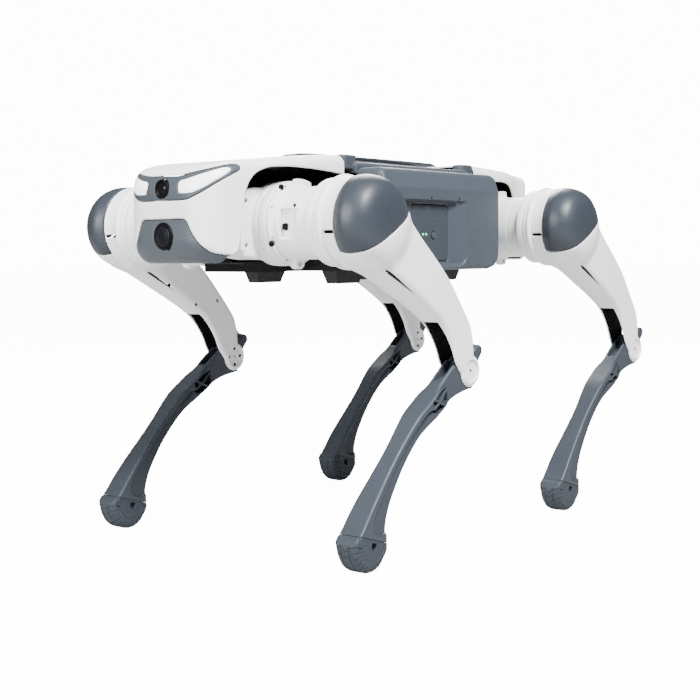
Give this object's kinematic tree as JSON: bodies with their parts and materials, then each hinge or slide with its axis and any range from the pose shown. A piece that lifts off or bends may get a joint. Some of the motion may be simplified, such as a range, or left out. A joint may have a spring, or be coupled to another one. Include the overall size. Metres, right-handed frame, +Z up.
{
  "type": "quadruped robot",
  "caption": "Quadruped robot dog with roll-pitch-knee legs, knee push-rod drives, slide-out battery and a carry bar.",
  "frame": {"origin": "on the ground, under the middle of the bounding box, standing", "axes": "+X forward (towards the head), +Y the robot's left, +Z up"},
  "size_m": [0.617, 0.371, 0.382],
  "materials": {
    "white_plastic": "satin moulded",
    "grey_plastic": "satin moulded",
    "shank_grey": "satin moulded",
    "foot_rubber": "matte",
    "black_chassis": "satin",
    "battery_case": "satin",
    "motor_housing": "anodised",
    "circuit_board": "solder mask",
    "steel": "machined",
    "lens_black": "polished",
    "light_strip": "diffuser",
    "rubber_black": "matte"
  },
  "bodies": {
    "torso": {"chassis": "black_chassis", "abduction_motors": "motor_housing", "main_board": "circuit_board", "side_covers": "grey_plastic", "top_cover": "grey_plastic", "carry_handle": "grey_plastic", "head_shell": "white_plastic", "tail_shell": "white_plastic", "head_visor": "grey_plastic", "light_strips": "light_strip", "chin_panel": "grey_plastic", "front_camera": "lens_black", "chin_sensor": "lens_black", "skid_pads": "rubber_black"},
    "battery": {"battery": "battery_case"},
    "power_button": {"power_button": "grey_plastic"},
    "front_left_hip": {"front_left_hip_bracket": "white_plastic", "front_left_hip_motor": "white_plastic"},
    "front_left_thigh": {"front_left_thigh_inner_shell": "white_plastic", "front_left_thigh_outer_shell": "white_plastic", "front_left_hip_cap": "grey_plastic", "front_left_knee_motor": "motor_housing", "front_left_knee_pin": "steel"},
    "front_left_crank": {"front_left_knee_crank": "steel"},
    "front_left_rod": {"front_left_push_rod": "steel"},
    "front_left_shank": {"front_left_shank": "shank_grey", "front_left_foot": "foot_rubber"},
    "front_right_hip": {"front_right_hip_bracket": "white_plastic", "front_right_hip_motor": "white_plastic"},
    "front_right_thigh": {"front_right_thigh_inner_shell": "white_plastic", "front_right_thigh_outer_shell": "white_plastic", "front_right_hip_cap": "grey_plastic", "front_right_knee_motor": "motor_housing", "front_right_knee_pin": "steel"},
    "front_right_crank": {"front_right_knee_crank": "steel"},
    "front_right_rod": {"front_right_push_rod": "steel"},
    "front_right_shank": {"front_right_shank": "shank_grey", "front_right_foot": "foot_rubber"},
    "rear_left_hip": {"rear_left_hip_bracket": "white_plastic", "rear_left_hip_motor": "white_plastic"},
    "rear_left_thigh": {"rear_left_thigh_inner_shell": "white_plastic", "rear_left_thigh_outer_shell": "white_plastic", "rear_left_hip_cap": "grey_plastic", "rear_left_knee_motor": "motor_housing", "rear_left_knee_pin": "steel"},
    "rear_left_crank": {"rear_left_knee_crank": "steel"},
    "rear_left_rod": {"rear_left_push_rod": "steel"},
    "rear_left_shank": {"rear_left_shank": "shank_grey", "rear_left_foot": "foot_rubber"},
    "rear_right_hip": {"rear_right_hip_bracket": "white_plastic", "rear_right_hip_motor": "white_plastic"},
    "rear_right_thigh": {"rear_right_thigh_inner_shell": "white_plastic", "rear_right_thigh_outer_shell": "white_plastic", "rear_right_hip_cap": "grey_plastic", "rear_right_knee_motor": "motor_housing", "rear_right_knee_pin": "steel"},
    "rear_right_crank": {"rear_right_knee_crank": "steel"},
    "rear_right_rod": {"rear_right_push_rod": "steel"},
    "rear_right_shank": {"rear_right_shank": "shank_grey", "rear_right_foot": "foot_rubber"}
  },
  "joints": [
    {"name": "battery_slide", "type": "slide", "parent": "torso", "child": "battery", "axis": [0, 1, 0], "range_m": [0, 0.12]},
    {"name": "power_button_press", "type": "slide", "parent": "battery", "child": "power_button", "axis": [0, -1, 0], "range_m": [0, 0.0009], "stiffness_N_per_m": 1500},
    {"name": "front_left_hip_roll", "type": "hinge", "parent": "torso", "child": "front_left_hip", "pos_m": [0.1508, 0.036, 0.30901], "axis": [1, 0, 0], "range_deg": [-18, 18]},
    {"name": "front_left_hip_pitch", "type": "hinge", "parent": "front_left_hip", "child": "front_left_thigh", "pos_m": [0.2063, 0.157, 0.30901], "axis": [0, -1, 0], "range_deg": [-75, 40]},
    {"name": "front_left_knee", "type": "hinge", "parent": "front_left_thigh", "child": "front_left_shank", "pos_m": [0.06488, 0.157, 0.16759], "axis": [0, 1, 0], "range_deg": [-46, 56]},
    {"name": "front_left_crank_turn", "type": "hinge", "parent": "front_left_thigh", "child": "front_left_crank", "pos_m": [0.2063, 0.157, 0.30901], "axis": [0, 1, 0], "range_deg": [-46, 56]},
    {"name": "front_left_rod_swing", "type": "hinge", "parent": "front_left_crank", "child": "front_left_rod", "pos_m": [0.18791, 0.157, 0.32739], "axis": [0, 1, 0], "range_deg": [-56, 46]},
    {"name": "front_right_hip_roll", "type": "hinge", "parent": "torso", "child": "front_right_hip", "pos_m": [0.1508, -0.036, 0.30901], "axis": [1, 0, 0], "range_deg": [-18, 18]},
    {"name": "front_right_hip_pitch", "type": "hinge", "parent": "front_right_hip", "child": "front_right_thigh", "pos_m": [0.2063, -0.157, 0.30901], "axis": [0, -1, 0], "range_deg": [-75, 40]},
    {"name": "front_right_knee", "type": "hinge", "parent": "front_right_thigh", "child": "front_right_shank", "pos_m": [0.06488, -0.157, 0.16759], "axis": [0, 1, 0], "range_deg": [-46, 56]},
    {"name": "front_right_crank_turn", "type": "hinge", "parent": "front_right_thigh", "child": "front_right_crank", "pos_m": [0.2063, -0.157, 0.30901], "axis": [0, 1, 0], "range_deg": [-46, 56]},
    {"name": "front_right_rod_swing", "type": "hinge", "parent": "front_right_crank", "child": "front_right_rod", "pos_m": [0.18791, -0.157, 0.32739], "axis": [0, 1, 0], "range_deg": [-56, 46]},
    {"name": "rear_left_hip_roll", "type": "hinge", "parent": "torso", "child": "rear_left_hip", "pos_m": [-0.0872, 0.036, 0.30901], "axis": [1, 0, 0], "range_deg": [-18, 18]},
    {"name": "rear_left_hip_pitch", "type": "hinge", "parent": "rear_left_hip", "child": "rear_left_thigh", "pos_m": [-0.1427, 0.157, 0.30901], "axis": [0, -1, 0], "range_deg": [-75, 40]},
    {"name": "rear_left_knee", "type": "hinge", "parent": "rear_left_thigh", "child": "rear_left_shank", "pos_m": [-0.28412, 0.157, 0.16759], "axis": [0, 1, 0], "range_deg": [-46, 56]},
    {"name": "rear_left_crank_turn", "type": "hinge", "parent": "rear_left_thigh", "child": "rear_left_crank", "pos_m": [-0.1427, 0.157, 0.30901], "axis": [0, 1, 0], "range_deg": [-46, 56]},
    {"name": "rear_left_rod_swing", "type": "hinge", "parent": "rear_left_crank", "child": "rear_left_rod", "pos_m": [-0.16109, 0.157, 0.32739], "axis": [0, 1, 0], "range_deg": [-56, 46]},
    {"name": "rear_right_hip_roll", "type": "hinge", "parent": "torso", "child": "rear_right_hip", "pos_m": [-0.0872, -0.036, 0.30901], "axis": [1, 0, 0], "range_deg": [-18, 18]},
    {"name": "rear_right_hip_pitch", "type": "hinge", "parent": "rear_right_hip", "child": "rear_right_thigh", "pos_m": [-0.1427, -0.157, 0.30901], "axis": [0, -1, 0], "range_deg": [-75, 40]},
    {"name": "rear_right_knee", "type": "hinge", "parent": "rear_right_thigh", "child": "rear_right_shank", "pos_m": [-0.28412, -0.157, 0.16759], "axis": [0, 1, 0], "range_deg": [-46, 56]},
    {"name": "rear_right_crank_turn", "type": "hinge", "parent": "rear_right_thigh", "child": "rear_right_crank", "pos_m": [-0.1427, -0.157, 0.30901], "axis": [0, 1, 0], "range_deg": [-46, 56]},
    {"name": "rear_right_rod_swing", "type": "hinge", "parent": "rear_right_crank", "child": "rear_right_rod", "pos_m": [-0.16109, -0.157, 0.32739], "axis": [0, 1, 0], "range_deg": [-56, 46]}
  ],
  "couplings": [
    {"joint": "front_left_crank_turn", "follows": "front_left_knee", "ratio": 1},
    {"joint": "front_left_rod_swing", "follows": "front_left_knee", "ratio": -1},
    {"joint": "front_right_crank_turn", "follows": "front_right_knee", "ratio": 1},
    {"joint": "front_right_rod_swing", "follows": "front_right_knee", "ratio": -1},
    {"joint": "rear_left_crank_turn", "follows": "rear_left_knee", "ratio": 1},
    {"joint": "rear_left_rod_swing", "follows": "rear_left_knee", "ratio": -1},
    {"joint": "rear_right_crank_turn", "follows": "rear_right_knee", "ratio": 1},
    {"joint": "rear_right_rod_swing", "follows": "rear_right_knee", "ratio": -1}
  ]
}
